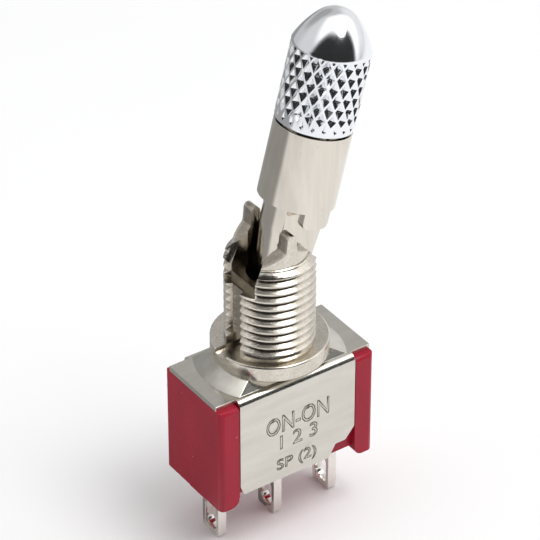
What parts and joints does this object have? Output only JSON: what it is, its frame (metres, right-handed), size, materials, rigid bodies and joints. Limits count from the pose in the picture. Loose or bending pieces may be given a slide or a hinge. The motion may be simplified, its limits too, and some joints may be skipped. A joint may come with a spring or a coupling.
{
  "type": "toggle switch",
  "caption": "Miniature panel-mount toggle switch with a locking lever: threaded keyed bushing, knurled pull-to-unlock cap, stamped metal frame, moulded case and solder-lug terminals.",
  "frame": {"origin": "on the bushing's axis, in the flange's top face that seats behind the panel", "axes": "+Z runs out of the panel along the bushing's axis; +X is the way the lever leans when thrown to the right, with the keyway on -X; +Y points to the rear skirt"},
  "size_m": [0.014, 0.0082, 0.039],
  "materials": {
    "case_plastic": "moulded, semi-gloss",
    "frame_steel": "stamped, satin nickel plated",
    "nickel_plate": "satin nickel plated",
    "cap_chrome": "bright plated, knurled band",
    "steel_wire": "drawn wire",
    "inner_plastic": "moulded",
    "silver_plate": "silver plated",
    "seal_epoxy": "poured"
  },
  "bodies": {
    "housing": {"case": "case_plastic", "frame": "frame_steel", "bushing": "nickel_plate", "terminal_left": "silver_plate", "terminal_center": "silver_plate", "terminal_right": "silver_plate", "contact_left": "silver_plate", "contact_right": "silver_plate", "terminal_seal": "seal_epoxy"},
    "toggle": {"lever": "nickel_plate", "pivot_pin": "steel_wire", "lock_washer": "frame_steel", "lock_spring": "steel_wire", "plunger_spring": "steel_wire"},
    "lock": {"lock_collar": "nickel_plate", "cap": "cap_chrome"},
    "follower": {"plunger": "inner_plastic"},
    "rocker": {"contactor": "silver_plate"}
  },
  "joints": [
    {"name": "lever_tilt", "type": "hinge", "parent": "housing", "child": "toggle", "pos_m": [0, 0, 0.00194], "axis": [0, 1, 0], "range_deg": [-28.8, 0]},
    {"name": "collar_lift", "type": "slide", "parent": "toggle", "child": "lock", "axis": [0.2487, 0, 0.9686], "range_m": [-0.00136, 0.00084], "stiffness_N_per_m": 400, "springref_m": -0.00436, "deforming": ["lock_spring"]},
    {"name": "plunger_slide", "type": "slide", "parent": "toggle", "child": "follower", "axis": [0.2487, 0, 0.9686], "range_m": [0, 0.00025], "stiffness_N_per_m": 60, "springref_m": -0.003, "deforming": ["plunger_spring"]},
    {"name": "contactor_rock", "type": "hinge", "parent": "housing", "child": "rocker", "pos_m": [0, 0, -0.00617], "axis": [0, 1, 0], "range_deg": [0, 16]}
  ],
  "couplings": [
    {"joint": "contactor_rock", "follows": "lever_tilt", "ratio": -0.55556}
  ]
}
